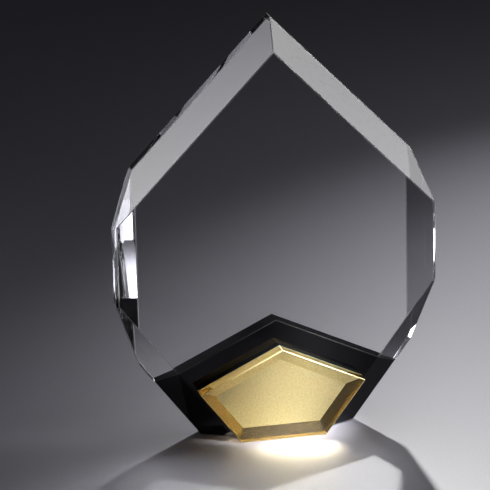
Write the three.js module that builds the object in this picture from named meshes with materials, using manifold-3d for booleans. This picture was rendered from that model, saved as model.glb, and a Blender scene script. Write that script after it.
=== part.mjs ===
// Crystal award: a faceted, house-shaped crystal slab bonded point-down over a black crystal base,
// with a small five-sided crystal plaque, gold-backed, bonded to the front of the base.
// Millimetres, +Z up, +X to the right of someone facing the award, front face towards -Y.
// The origin is the bottom centre of the bounding box.

import * as THREE from 'three';
import { mergeVertices } from 'three/addons/utils/BufferGeometryUtils.js';
import Module from 'manifold-3d';

const wasm = await Module();
wasm.setup();

// ---------- driving dimensions ----------

const SLAB_HEIGHT = 250;
const SLAB_THICKNESS = 18.5;

// Half outline, from the point at the top down to the foot: x is the half width, z the height.
const SLAB_HALF_WIDTH = 95.8;
const SHOULDER_TOP = { x: 82.9, z: 165.3 };
const SHOULDER_BOTTOM_Z = 131.9;
const HIP_TOP_Z = 86.8;
const HIP_BOTTOM = { x: 81.9, z: 47.3 };
const FOOT_HALF_WIDTH = 45.9;

// The four sloping edges have a wide bevel on the front and a small one on the back. The two
// upright edges have a wide bevel on the back and a small one on the front.
const FRONT_BEVEL = { width: 14, depth: 8.3 };
const REAR_BEVEL = { width: 14.9, depth: 10.2 };
const SMALL_REAR_BEVEL = { width: 3, depth: 3 };
const SMALL_FRONT_BEVEL = { width: 1.8, depth: 1.8 };

// The front edge of the foot has a flat chamfer, and the foot's other edges a slight one.
const FOOT_CHAMFER = 3.5;
const FOOT_ARRIS = 1.0;

// Roof-shaped joint between the clear body and the black base.
const JOINT_PEAK = { x: -1.6, z: 69.8 };
const JOINT_SLOPE = 0.468;
const JOINT_GAP = 1.0;
const JOINT_FILM = 0.4;

// Plaque: its edges run parallel to the joint and to the slab's lower edges.
const PLAQUE_STAND_OFF = 12;
const PLAQUE_CENTRE_X = -0.6;
const PLAQUE_HALF_WIDTH = 49.5;
const PLAQUE_CORNER_Z = 32;
const PLAQUE_LIFT = 0.4;
const PLAQUE_RIM = 8.6;
const PLAQUE_ROOF_BEVEL_WIDTH = 7.6;
const PLAQUE_SIDE_BEVEL_WIDTH = 5.8;
const PLAQUE_SILL_BEVEL_WIDTH = 6.5;

// Thin layers behind the plaque, from the plaque's back to the black face.
const GOLD_CLEARANCE = 0.3;
const GOLD_THICKNESS = 0.3;
const FILM_CLEARANCE = 0.05;
const FILM_THICKNESS = 0.4;
const FILM_EDGE_INSET = 1.5;

// Larger than the whole award, for cutters that reach past it.
const BEYOND = 600;

// ---------- derived positions ----------

const FRONT_Y = (PLAQUE_STAND_OFF - SLAB_THICKNESS) / 2;
const REAR_Y = FRONT_Y + SLAB_THICKNESS;
const PLAQUE_FRONT_Y = FRONT_Y - PLAQUE_STAND_OFF;
const FILM_REAR_Y = FRONT_Y - FILM_CLEARANCE;
const FILM_FRONT_Y = FILM_REAR_Y - FILM_THICKNESS;
const GOLD_REAR_Y = FILM_FRONT_Y - FILM_CLEARANCE;
const PLAQUE_REAR_Y = GOLD_REAR_Y - GOLD_THICKNESS - GOLD_CLEARANCE;
const PLAQUE_BEVEL_DEPTH = PLAQUE_REAR_Y - PLAQUE_FRONT_Y - PLAQUE_RIM;

const FRONT = new THREE.Vector3(0, -1, 0);
const REAR = new THREE.Vector3(0, 1, 0);
const DOWN = new THREE.Vector3(0, 0, -1);

// ---------- solids ----------

// Turns a closed three.js geometry into a manifold solid.
function toSolid(geometry) {
  const bare = geometry.clone();
  bare.deleteAttribute('normal');
  bare.deleteAttribute('uv');
  const merged = mergeVertices(bare, 1e-4);
  return new wasm.Manifold(new wasm.Mesh({
    numProp: 3,
    vertProperties: new Float32Array(merged.attributes.position.array),
    triVerts: new Uint32Array(merged.index.array),
  }));
}

// Turns a manifold solid back into a three.js geometry.
function toGeometry(solid) {
  const mesh = solid.getMesh();
  const geometry = new THREE.BufferGeometry();
  geometry.setAttribute('position', new THREE.BufferAttribute(mesh.vertProperties, 3));
  geometry.setIndex(new THREE.BufferAttribute(mesh.triVerts, 1));
  geometry.computeVertexNormals();
  return geometry;
}

// An upright prism: an outline in the XZ plane, filled from one Y to another.
function prism(outline, fromY, toY) {
  const shape = new THREE.Shape(outline.map((p) => new THREE.Vector2(p.x, p.z)));
  const geometry = new THREE.ExtrudeGeometry(shape, { depth: toY - fromY, bevelEnabled: false });
  geometry.rotateX(Math.PI / 2);
  geometry.translate(0, toY, 0);
  return toSolid(geometry);
}

// A block that fills everything on the outer side of a plane.
function outside(point, normal) {
  const block = new THREE.BoxGeometry(BEYOND, BEYOND, BEYOND);
  block.translate(0, 0, BEYOND / 2);
  const up = new THREE.Vector3(0, 0, 1);
  block.applyQuaternion(new THREE.Quaternion().setFromUnitVectors(up, normal.clone().normalize()));
  block.translate(point.x, point.y, point.z);
  return toSolid(block);
}

// Outward direction, in the XZ plane, of the edge between two corners of an outline that runs
// clockwise as seen from the front.
function outwardNormal(from, to) {
  return new THREE.Vector3(-(to.z - from.z), 0, to.x - from.x).normalize();
}

// Outer side of a bevel plane: it leaves the outline edge at `depth` below the face and meets the
// face `width` in from the edge. `offset` moves the plane outwards.
function bevelCut(edge, face, faceY, { width, depth }, offset = 0) {
  const outward = outwardNormal(edge.from, edge.to);
  const normal = outward.clone().multiplyScalar(depth).addScaledVector(face, width).normalize();
  const rim = new THREE.Vector3(edge.from.x, faceY, edge.from.z);
  rim.addScaledVector(face, -depth);
  rim.addScaledVector(normal, offset);
  return { normal, block: outside(rim, normal) };
}

// Cuts a narrow flat along the edge where two planes meet.
function arrisCut(point, normalA, normalB, size) {
  const normal = normalA.clone().add(normalB).normalize();
  const inside = point.clone().addScaledVector(normal, -size / Math.SQRT2);
  return outside(inside, normal);
}

// ---------- slab ----------

const mirrored = (p) => ({ x: -p.x, z: p.z });
const shoulderBottom = { x: SLAB_HALF_WIDTH, z: SHOULDER_BOTTOM_Z };
const hipTop = { x: SLAB_HALF_WIDTH, z: HIP_TOP_Z };
const foot = { x: FOOT_HALF_WIDTH, z: 0 };
const apex = { x: 0, z: SLAB_HEIGHT };

// The bevels that each kind of edge gets on its front and on its back.
const FINISHES = {
  sloping: { front: FRONT_BEVEL, rear: SMALL_REAR_BEVEL },
  corner: { front: null, rear: SMALL_REAR_BEVEL },
  upright: { front: SMALL_FRONT_BEVEL, rear: REAR_BEVEL },
};

// Right-hand edges from the apex down.
const rightEdges = [
  { from: apex, to: SHOULDER_TOP, finish: 'sloping' },
  { from: SHOULDER_TOP, to: shoulderBottom, finish: 'corner' },
  { from: shoulderBottom, to: hipTop, finish: 'upright' },
  { from: hipTop, to: HIP_BOTTOM, finish: 'corner' },
  { from: HIP_BOTTOM, to: foot, finish: 'sloping' },
];
const leftEdges = rightEdges.map((e) => ({
  from: mirrored(e.to),
  to: mirrored(e.from),
  finish: e.finish,
})).reverse();
const slabEdges = [...rightEdges, ...leftEdges];

function makeSlab() {
  const outline = [...rightEdges.map((e) => e.from), foot, ...leftEdges.map((e) => e.from)];
  let slab = prism(outline, FRONT_Y, REAR_Y);
  for (const edge of slabEdges) {
    const { front, rear } = FINISHES[edge.finish];
    slab = slab.subtract(bevelCut(edge, REAR, REAR_Y, rear).block);
    if (front) {
      const bevel = bevelCut(edge, FRONT, FRONT_Y, front);
      slab = slab.subtract(bevel.block);
      const lowEnd = edge.from.z < edge.to.z ? edge.from : edge.to;
      if (lowEnd.z === 0) {
        const rim = new THREE.Vector3(lowEnd.x, FRONT_Y + front.depth, 0);
        slab = slab.subtract(arrisCut(rim, bevel.normal, DOWN, FOOT_ARRIS));
      }
    }
  }
  const frontFoot = new THREE.Vector3(0, FRONT_Y, 0);
  const rearFoot = new THREE.Vector3(0, REAR_Y, 0);
  slab = slab.subtract(arrisCut(frontFoot, FRONT, DOWN, FOOT_CHAMFER));
  slab = slab.subtract(arrisCut(rearFoot, REAR, DOWN, FOOT_ARRIS));
  return slab;
}

// Everything under the roof-shaped joint, moved up by `rise` measured square to the joint.
function underJoint(rise) {
  const lift = rise * Math.hypot(1, JOINT_SLOPE);
  const peakZ = JOINT_PEAK.z + lift;
  const eavesZ = peakZ - JOINT_SLOPE * BEYOND;
  return prism([
    { x: JOINT_PEAK.x, z: peakZ },
    { x: JOINT_PEAK.x + BEYOND, z: eavesZ },
    { x: JOINT_PEAK.x + BEYOND, z: -BEYOND },
    { x: JOINT_PEAK.x - BEYOND, z: -BEYOND },
    { x: JOINT_PEAK.x - BEYOND, z: eavesZ },
  ], FRONT_Y - BEYOND, REAR_Y + BEYOND);
}

// ---------- plaque ----------

const lowerEdgeSlope = HIP_BOTTOM.z / (HIP_BOTTOM.x - FOOT_HALF_WIDTH);
const plaqueCorner = { x: PLAQUE_HALF_WIDTH, z: PLAQUE_CORNER_Z };
const plaquePeak = { x: 0, z: PLAQUE_CORNER_Z + JOINT_SLOPE * PLAQUE_HALF_WIDTH };
const plaqueSillHalf = PLAQUE_HALF_WIDTH - (PLAQUE_CORNER_Z - PLAQUE_LIFT) / lowerEdgeSlope;
const plaqueSillEnd = { x: plaqueSillHalf, z: PLAQUE_LIFT };

const atPlaque = (p) => ({ x: p.x + PLAQUE_CENTRE_X, z: p.z });
const plaqueCorners = [
  plaquePeak,
  plaqueCorner,
  plaqueSillEnd,
  mirrored(plaqueSillEnd),
  mirrored(plaqueCorner),
].map(atPlaque);
const plaqueBevelWidths = [
  PLAQUE_ROOF_BEVEL_WIDTH,
  PLAQUE_SIDE_BEVEL_WIDTH,
  PLAQUE_SILL_BEVEL_WIDTH,
  PLAQUE_SIDE_BEVEL_WIDTH,
  PLAQUE_ROOF_BEVEL_WIDTH,
];

// The plaque's prism down to `rearY`, with its rear bevels moved outwards by `offset`.
function plaqueBlank(frontY, rearY, offset) {
  let blank = prism(plaqueCorners, frontY, rearY);
  plaqueCorners.forEach((from, i) => {
    const edge = { from, to: plaqueCorners[(i + 1) % plaqueCorners.length] };
    const bevel = { width: plaqueBevelWidths[i], depth: PLAQUE_BEVEL_DEPTH };
    const cut = bevelCut(edge, REAR, PLAQUE_REAR_Y, bevel, offset);
    blank = blank.subtract(cut.block);
  });
  return blank;
}

function makeGoldBacking() {
  const outer = plaqueBlank(PLAQUE_FRONT_Y, GOLD_REAR_Y, GOLD_CLEARANCE + GOLD_THICKNESS);
  const inner = plaqueBlank(PLAQUE_FRONT_Y - 1, PLAQUE_REAR_Y + GOLD_CLEARANCE, GOLD_CLEARANCE);
  const rimEndY = PLAQUE_FRONT_Y + PLAQUE_RIM + GOLD_CLEARANCE;
  const ahead = outside(new THREE.Vector3(0, rimEndY, 0), FRONT);
  return outer.subtract(inner).subtract(ahead);
}

// The film covers the flat of the plaque's back, a little in from its edges.
function makePlaqueFilm() {
  let film = prism(plaqueCorners, FILM_FRONT_Y, FILM_REAR_Y);
  plaqueCorners.forEach((from, i) => {
    const outward = outwardNormal(from, plaqueCorners[(i + 1) % plaqueCorners.length]);
    const inset = plaqueBevelWidths[i] + FILM_EDGE_INSET;
    const edgePoint = new THREE.Vector3(from.x, 0, from.z).addScaledVector(outward, -inset);
    film = film.subtract(outside(edgePoint, outward));
  });
  return film;
}

// ---------- materials and scene graph ----------

const award = new THREE.Group();

function add(name, solid, look) {
  const material = new THREE.MeshStandardMaterial({ ...look, flatShading: true });
  const mesh = new THREE.Mesh(toGeometry(solid), material);
  mesh.name = name;
  award.add(mesh);
}

const slab = makeSlab();
const clearCrystal = { color: 0xdfe6e8, roughness: 0.02, metalness: 0, transparent: true, opacity: 0.35 };
const blackCrystal = { color: 0x0a0a0b, roughness: 0.05, metalness: 0 };
const amberCrystal = { color: 0xd9b46a, roughness: 0.04, metalness: 0, transparent: true, opacity: 0.45 };
const goldFoil = { color: 0xc9a24a, roughness: 0.35, metalness: 1 };
const bondFilm = { color: 0xc8c8c0, roughness: 0.3, metalness: 0, transparent: true, opacity: 0.6 };

add('crystal_body', slab.subtract(underJoint(JOINT_GAP / 2)), clearCrystal);
add('black_base', slab.intersect(underJoint(-JOINT_GAP / 2)), blackCrystal);
add(
  'base_joint_adhesive',
  slab.intersect(underJoint(JOINT_FILM / 2)).subtract(underJoint(-JOINT_FILM / 2)),
  bondFilm,
);
add('plaque_crystal', plaqueBlank(PLAQUE_FRONT_Y, PLAQUE_REAR_Y, 0), amberCrystal);
add('plaque_gold_backing', makeGoldBacking(), goldFoil);
add('plaque_adhesive', makePlaqueFilm(), bondFilm);

export default award;
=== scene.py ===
import math

import bmesh
import bpy
from mathutils import Matrix, Vector


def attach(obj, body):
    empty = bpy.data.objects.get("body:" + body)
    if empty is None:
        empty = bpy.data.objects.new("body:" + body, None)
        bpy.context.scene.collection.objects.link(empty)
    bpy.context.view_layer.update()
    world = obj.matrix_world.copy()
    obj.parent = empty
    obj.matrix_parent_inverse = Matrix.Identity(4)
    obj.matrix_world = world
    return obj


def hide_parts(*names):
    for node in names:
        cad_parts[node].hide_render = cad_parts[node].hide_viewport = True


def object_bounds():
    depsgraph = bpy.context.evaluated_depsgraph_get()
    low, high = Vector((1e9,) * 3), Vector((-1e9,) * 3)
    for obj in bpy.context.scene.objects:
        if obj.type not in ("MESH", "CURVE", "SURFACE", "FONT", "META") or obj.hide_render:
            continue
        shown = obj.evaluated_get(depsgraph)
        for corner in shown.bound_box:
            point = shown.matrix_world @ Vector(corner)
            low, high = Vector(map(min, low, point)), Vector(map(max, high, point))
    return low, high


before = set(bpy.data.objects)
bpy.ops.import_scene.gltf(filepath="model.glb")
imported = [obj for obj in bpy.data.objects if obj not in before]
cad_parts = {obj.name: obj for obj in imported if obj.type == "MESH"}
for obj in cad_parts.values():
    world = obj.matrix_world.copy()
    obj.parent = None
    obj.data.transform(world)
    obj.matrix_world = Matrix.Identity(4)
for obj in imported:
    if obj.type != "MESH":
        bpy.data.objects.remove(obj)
cad_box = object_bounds()

MM = 0.001

# ---------- driving values ----------

ARRIS = 0.35 * MM                 # polished flat along each sharp crystal edge
JOINT_SLOPE = 0.468               # rise over run of the joint's two faces
BOND_STEP = 0.26 * MM             # how far each side of the joint moves in to meet the film
MERGE_DISTANCE = 0.001 * MM       # corners nearer than this are one corner
FLAT_ANGLE = math.radians(1)      # neighbouring triangles flatter than this are one facet
ARRIS_ANGLE = math.radians(12)    # edges sharper than this get an arris

# How a facet's direction tells what the facet is.
SAME_DIRECTION = 0.999            # cosine above which two directions count as the same
SIDEWAYS_LIMIT = 0.1              # the foot's facets face left or right less than this
REARWARD = 0.3                    # the plaque's back and rear bevels face back more than this
UPWARD = 0.1                      # the plaque's roof bevels face up more than this

# Material slots of the body and the base, and then those of the plaque.
SIDE, EDGE, BOND, FLAT, FOOT = range(5)
PLAQUE_GLASS, PLAQUE_EDGE, PLAQUE_BACK, PLAQUE_LOWER_BEVEL = range(4)

CRYSTAL_IOR = 1.52
FACE_CLARITY = 0.93               # share of the light that passes one large face
EDGE_CLARITY = 0.75               # share of an arris that is clear instead of ground
AMBER_IOR = 1.5
AMBER_DENSITY = 28                # how fast the amber colour deepens, per metre
AMBER_DEPTH_COLOUR = (1, 0.72, 0.16, 1)
AMBER_EDGE_CLARITY = 0.4
BLACK_SPECULAR = 0.3
FILM_ROUGHNESS = 0.3
GOLD_GRAIN_HEIGHT = 0.1 * MM
FLOOR_SPECULAR = 0.8
FLOOR_SIZE = 12
WORLD_COLOUR = (0.012, 0.012, 0.014, 1)

# Noise that makes colour and roughness wander: repeats per metre, and levels of detail.
CRYSTAL_CLOUD = 18
BLACK_CLOUD = 40
FILM_CLOUD = 120
# The next scale is for the pale painted highlight on the foot's flats.
FOOT_GLINT_CLOUD = 300
FINE_GRAIN = 900
CLOUD_DETAIL = 3
FINE_DETAIL = 2
RAMP_ENDS = (0.3, 0.7)            # noise from all one colour to all the other

CAMERA_AZIMUTH = math.radians(12.5)     # to the object's left
CAMERA_ELEVATION = math.radians(17.2)
CAMERA_ROLL = math.radians(-1.3)
CAMERA_DISTANCE = 1.842
CAMERA_AIM = (-0.0186, -0.001, 0.1166)
CAMERA_LENS = 233.9
CAMERA_REACH = 100
SENSOR = 36.0


# ---------- materials ----------

def mottled(name, scale, colours, roughness=None, detail=CLOUD_DETAIL):
    """A material whose colour, and roughness if given, wander between two values."""
    material = bpy.data.materials.new(name)
    material.use_nodes = True
    nodes, links = material.node_tree.nodes, material.node_tree.links
    shader = nodes["Principled BSDF"]
    where = nodes.new("ShaderNodeTexCoord")
    cloud = nodes.new("ShaderNodeTexNoise")
    cloud.inputs["Scale"].default_value = scale
    cloud.inputs["Detail"].default_value = detail
    links.new(where.outputs["Object"], cloud.inputs["Vector"])
    ramp = nodes.new("ShaderNodeValToRGB")
    for element, position, colour in zip(ramp.color_ramp.elements, RAMP_ENDS, colours):
        element.position = position
        element.color = (*colour, 1)
    links.new(cloud.outputs["Fac"], ramp.inputs["Fac"])
    links.new(ramp.outputs["Color"], shader.inputs["Base Color"])
    if roughness:
        spread = nodes.new("ShaderNodeMapRange")
        spread.inputs["To Min"].default_value = roughness[0]
        spread.inputs["To Max"].default_value = roughness[1]
        links.new(cloud.outputs["Fac"], spread.inputs["Value"])
        links.new(spread.outputs["Result"], shader.inputs["Roughness"])
    return material, shader, cloud


def glass(name, colours, ior, roughness, clarity=1):
    material, shader, cloud = mottled(name, CRYSTAL_CLOUD, colours, roughness)
    shader.inputs["Transmission Weight"].default_value = clarity
    shader.inputs["IOR"].default_value = ior
    return material


def clear_crystal(name="clear_crystal"):
    return glass(name, colours=((0.985, 0.992, 0.995), (1, 1, 1)), ior=CRYSTAL_IOR, roughness=(0, 0.006))


def crystal_face():
    """Clear crystal for the large flat faces, which let shadow rays straight through.

    The two faces are parallel, so real light would cross them with hardly a shift.
    """
    material = clear_crystal("crystal_face")
    nodes, links = material.node_tree.nodes, material.node_tree.links
    path = nodes.new("ShaderNodeLightPath")
    clear = nodes.new("ShaderNodeBsdfTransparent")
    clear.inputs["Color"].default_value = (FACE_CLARITY, FACE_CLARITY, FACE_CLARITY, 1)
    mix = nodes.new("ShaderNodeMixShader")
    links.new(path.outputs["Is Shadow Ray"], mix.inputs[0])
    links.new(nodes["Principled BSDF"].outputs["BSDF"], mix.inputs[1])
    links.new(clear.outputs["BSDF"], mix.inputs[2])
    links.new(mix.outputs["Shader"], nodes["Material Output"].inputs["Surface"])
    return material


def arris_glass(name, colours, ior, clarity):
    """A narrow flat: mostly clear, but fine grinding marks in it catch the light."""
    return glass(name, colours, ior, roughness=(0.2, 0.35), clarity=clarity)


def polished_arris():
    return arris_glass("polished_arris", ((0.95, 0.96, 0.97), (1, 1, 1)), CRYSTAL_IOR, EDGE_CLARITY)


def amber_arris():
    return arris_glass("amber_arris", ((1, 0.84, 0.45), (1, 0.93, 0.6)), AMBER_IOR, AMBER_EDGE_CLARITY)


def amber_crystal():
    material = glass("amber_crystal", colours=((0.99, 0.97, 0.92), (1, 0.99, 0.95)),
                     ior=AMBER_IOR, roughness=(0, 0.01))
    nodes, links = material.node_tree.nodes, material.node_tree.links
    depth = nodes.new("ShaderNodeVolumeAbsorption")
    depth.inputs["Color"].default_value = AMBER_DEPTH_COLOUR
    depth.inputs["Density"].default_value = AMBER_DENSITY
    links.new(depth.outputs["Volume"], nodes["Material Output"].inputs["Volume"])
    return material


def black_crystal(name, roughness=(0.02, 0.05)):
    colours = ((0.002, 0.002, 0.0025), (0.004, 0.004, 0.0045))
    material, shader, cloud = mottled(name, BLACK_CLOUD, colours, roughness)
    shader.inputs["IOR"].default_value = CRYSTAL_IOR
    shader.inputs["Specular IOR Level"].default_value = BLACK_SPECULAR
    return material


def painted_foot_glint():
    """The narrow flats round the foot, coloured pale grey: a painted highlight that stands in for the
    white glint along the black base's foot.
    """
    colours = ((0.8, 0.8, 0.8), (0.9, 0.9, 0.89))
    return mottled("painted_foot_glint", FOOT_GLINT_CLOUD, colours, roughness=(0.3, 0.5))[0]


def bond_film():
    colours = ((0.03, 0.03, 0.03), (0.06, 0.058, 0.055))
    material, shader, cloud = mottled("bond_film", FILM_CLOUD, colours)
    shader.inputs["Roughness"].default_value = FILM_ROUGHNESS
    return material


def gold(name, colours, roughness, grain):
    """Metallic coat; grain is how strongly its fine texture shows."""
    material, shader, cloud = mottled(name, FINE_GRAIN, colours, roughness, FINE_DETAIL)
    shader.inputs["Metallic"].default_value = 1
    nodes, links = material.node_tree.nodes, material.node_tree.links
    bump = nodes.new("ShaderNodeBump")
    bump.inputs["Strength"].default_value = grain
    bump.inputs["Distance"].default_value = GOLD_GRAIN_HEIGHT
    links.new(cloud.outputs["Fac"], bump.inputs["Height"])
    links.new(bump.outputs["Normal"], shader.inputs["Normal"])
    return material


def pale_floor():
    colours = ((0.42, 0.412, 0.48), (0.49, 0.482, 0.55))
    material, shader, cloud = mottled("pale_floor", FINE_GRAIN, colours, (0.32, 0.42), FINE_DETAIL)
    shader.inputs["Specular IOR Level"].default_value = FLOOR_SPECULAR
    return material


# ---------- pieces ----------

def facets_of(node):
    """The CAD node's solid as a bmesh with its coplanar triangles joined into facets."""
    bm = bmesh.new()
    bm.from_mesh(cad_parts[node].data)
    bmesh.ops.remove_doubles(bm, verts=bm.verts, dist=MERGE_DISTANCE)
    bmesh.ops.dissolve_limit(bm, angle_limit=FLAT_ANGLE, verts=bm.verts, edges=bm.edges)
    bm.normal_update()
    return bm


def joint_faces(bm, side):
    """The faces on the joint; side is -1 for the solid above it and 1 for the one below."""
    slopes = [Vector((way * JOINT_SLOPE, 0, side)).normalized() for way in (-1, 1)]
    return [f for f in bm.faces if max(f.normal.dot(s) for s in slopes) > SAME_DIRECTION]


def polish_edges(bm, keep, slot):
    """Cuts a narrow flat along every sharp edge that isn't round a face in keep."""
    held = {e for f in keep for e in f.edges}
    sharp = [
        e for e in bm.edges
        if e not in held and len(e.link_faces) == 2 and e.calc_face_angle(0) > ARRIS_ANGLE
    ]
    made = bmesh.ops.bevel(bm, geom=sharp, offset=ARRIS, offset_type="OFFSET", segments=1,
                           affect="EDGES", profile=0.5, clamp_overlap=True)
    for face in made["faces"]:
        face.material_index = slot


def finish_piece(name, bm, materials, node):
    mesh = bpy.data.meshes.new(name)
    bm.to_mesh(mesh)
    bm.free()
    for index in sorted(materials):
        mesh.materials.append(materials[index])
    piece = bpy.data.objects.new(name, mesh)
    bpy.context.scene.collection.objects.link(piece)
    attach(piece, "root")
    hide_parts(node)


def make_bonded_half(name, node, side, materials):
    """The clear body or the black base, its joint faces moved in to meet the film."""
    bm = facets_of(node)
    bonded = joint_faces(bm, side)
    for face in bm.faces:
        if face in bonded:
            face.material_index = BOND
        elif abs(face.normal.y) > SAME_DIRECTION:
            face.material_index = FLAT
        elif face.normal.z < 0 and abs(face.normal.x) < SIDEWAYS_LIMIT:
            face.material_index = FOOT
    step = side * BOND_STEP * math.hypot(1, JOINT_SLOPE)
    for vert in {v for f in bonded for v in f.verts}:
        vert.co.z += step
    polish_edges(bm, bonded, EDGE)
    finish_piece(name, bm, materials, node)


def make_plaque(materials):
    """The plaque's crystal; its back and rear bevels carry the gold coat."""
    bm = facets_of("plaque_crystal")
    coated = [f for f in bm.faces if f.normal.y > REARWARD]
    for face in coated:
        back_or_roof = face.normal.y > SAME_DIRECTION or face.normal.z > UPWARD
        face.material_index = PLAQUE_BACK if back_or_roof else PLAQUE_LOWER_BEVEL
    polish_edges(bm, coated, PLAQUE_EDGE)
    finish_piece("plaque", bm, materials, "plaque_crystal")


black_bond = black_crystal("black_bond")

clear = clear_crystal()
body_looks = {SIDE: clear, EDGE: polished_arris(), BOND: black_bond, FLAT: crystal_face(), FOOT: clear}
make_bonded_half("crystal", "crystal_body", -1, body_looks)

black = black_crystal("black_crystal")
black_arris = black_crystal("black_arris", roughness=(0.1, 0.2))
# The black base's foot flats are pale grey: a painted highlight, not the base's own colour.
base_looks = {SIDE: black, EDGE: black_arris, BOND: black_bond, FLAT: black, FOOT: painted_foot_glint()}
make_bonded_half("base", "black_base", 1, base_looks)

satin_coat = gold("gold_coat", colours=((0.76, 0.82, 0.62), (0.94, 1.0, 0.86)),
                  roughness=(0.52, 0.64), grain=0.8)
# A darker copy of the gold coat for the plaque's lower rear bevels: painted shade that stands in for the
# dark reflections seen in them.
painted_shade_bevel_coat = gold("gold_bevel_painted_shade", colours=((0.3, 0.26, 0.15), (0.34, 0.3, 0.18)),
                  roughness=(0.16, 0.2), grain=0.0005)
make_plaque({
    PLAQUE_GLASS: amber_crystal(),
    PLAQUE_EDGE: amber_arris(),
    PLAQUE_BACK: satin_coat,
    PLAQUE_LOWER_BEVEL: painted_shade_bevel_coat,
})

looks_of_plain_nodes = {
    "base_joint_adhesive": bond_film(),
    "plaque_adhesive": bond_film(),
    "plaque_gold_backing": satin_coat,
}
for node, material in looks_of_plain_nodes.items():
    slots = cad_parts[node].data.materials
    slots.clear()
    slots.append(material)


# ---------- stage, lights and camera ----------

def make_floor():
    bpy.ops.mesh.primitive_plane_add(size=FLOOR_SIZE, location=(0, 0, cad_box[0][2]))
    floor = bpy.context.object
    floor.name = "floor"
    floor.data.materials.append(pale_floor())


def towards(azimuth, elevation):
    """Unit vector; azimuth is clockwise from the back of the object as seen from above."""
    level = math.cos(elevation)
    return Vector((math.sin(azimuth) * level, math.cos(azimuth) * level, math.sin(elevation)))


def place_light(name, data, place, aim):
    light = bpy.data.objects.new(name, data)
    light.location = place
    light.rotation_euler = (Vector(aim) - Vector(place)).to_track_quat("-Z", "Y").to_euler()
    bpy.context.scene.collection.objects.link(light)
    return light


def softbox(name, place, aim, size, watts, colour=(1, 1, 1), spread=180):
    data = bpy.data.lights.new(name, "AREA")
    data.shape = "RECTANGLE"
    data.size, data.size_y = size
    data.energy = watts
    data.color = colour
    data.spread = math.radians(spread)
    return place_light(name, data, place, aim)


def spotlight(name, azimuth, elevation, distance, aim, radius, cone, watts):
    data = bpy.data.lights.new(name, "SPOT")
    data.shadow_soft_size = radius
    data.spot_size = math.radians(cone)
    data.spot_blend = 1
    data.energy = watts
    place = towards(math.radians(azimuth), math.radians(elevation)) * distance
    return place_light(name, data, place, aim)


def make_lights():
    # From behind: throws the award's shadow on to the table in front of it.
    spotlight("backlight", azimuth=20, elevation=38, distance=1.6, aim=(0.52, -0.34, 0),
              radius=0.03, cone=60, watts=56)
    # Lights up the table to the right.
    softbox("right_pool", place=(0.48, -0.16, 0.3), aim=(0.48, -0.159, 0), size=(0.3, 0.25),
            watts=2.4, spread=80)
    softbox("right_softbox", place=(0.86, 0.09, 0.56), aim=(0.09, 0, 0.11), size=(0.16, 0.16), watts=0.6)
    softbox("rear_softbox", place=(0.79, 0.29, 0.36), aim=(0, 0, 0.05), size=(0.1, 0.22), watts=0.5)
    # These two are seen in the wide bevels of the upper slopes.
    softbox("upper_right_softbox", place=(1.02, -0.60, 0.68), aim=(0.07, 0, 0.26), size=(0.4, 0.5),
            watts=0.1, spread=26)
    softbox("upper_left_softbox", place=(-0.72, -0.99, 0.75), aim=(0.09, 0, 0.36), size=(0.4, 0.28),
            watts=0.075, spread=28)
    spotlight("plaque_light", azimuth=150, elevation=48, distance=0.5, aim=(0.016, -0.015, 0.04),
              radius=0.02, cone=9.5, watts=72)
    # Stands in for the light that the plaque throws on to the table in front of it.
    glow = softbox("plaque_glow", place=(-0.002, -0.0175, 0.01), aim=(-0.012, -0.05, -0.016),
                   size=(0.062, 0.012), watts=0.026, colour=(1, 0.9, 0.6), spread=90)
    glow.visible_camera = False
    glow.visible_glossy = False
    glow.visible_transmission = False


def make_camera():
    aim = Vector(CAMERA_AIM)
    back = towards(math.pi + CAMERA_AZIMUTH, CAMERA_ELEVATION)
    level = Vector((math.cos(CAMERA_AZIMUTH), -math.sin(CAMERA_AZIMUTH), 0))
    upright = back.cross(level)
    right = level * math.cos(CAMERA_ROLL) + upright * math.sin(CAMERA_ROLL)
    up = back.cross(right)
    data = bpy.data.cameras.new("camera")
    data.lens = CAMERA_LENS
    data.sensor_width = SENSOR
    data.clip_end = CAMERA_REACH
    camera = bpy.data.objects.new("camera", data)
    turn = Matrix((right, up, back)).transposed().to_4x4()
    camera.matrix_world = Matrix.Translation(aim + back * CAMERA_DISTANCE) @ turn
    bpy.context.scene.collection.objects.link(camera)
    bpy.context.scene.camera = camera


make_floor()
make_lights()

scene = bpy.context.scene
scene.world = bpy.data.worlds.new("studio")
scene.world.use_nodes = True
scene.world.node_tree.nodes["Background"].inputs["Color"].default_value = WORLD_COLOUR
scene.view_settings.view_transform = "Standard"
scene.cycles.max_bounces = 32
scene.cycles.glossy_bounces = 24
scene.cycles.transmission_bounces = 32
make_camera()
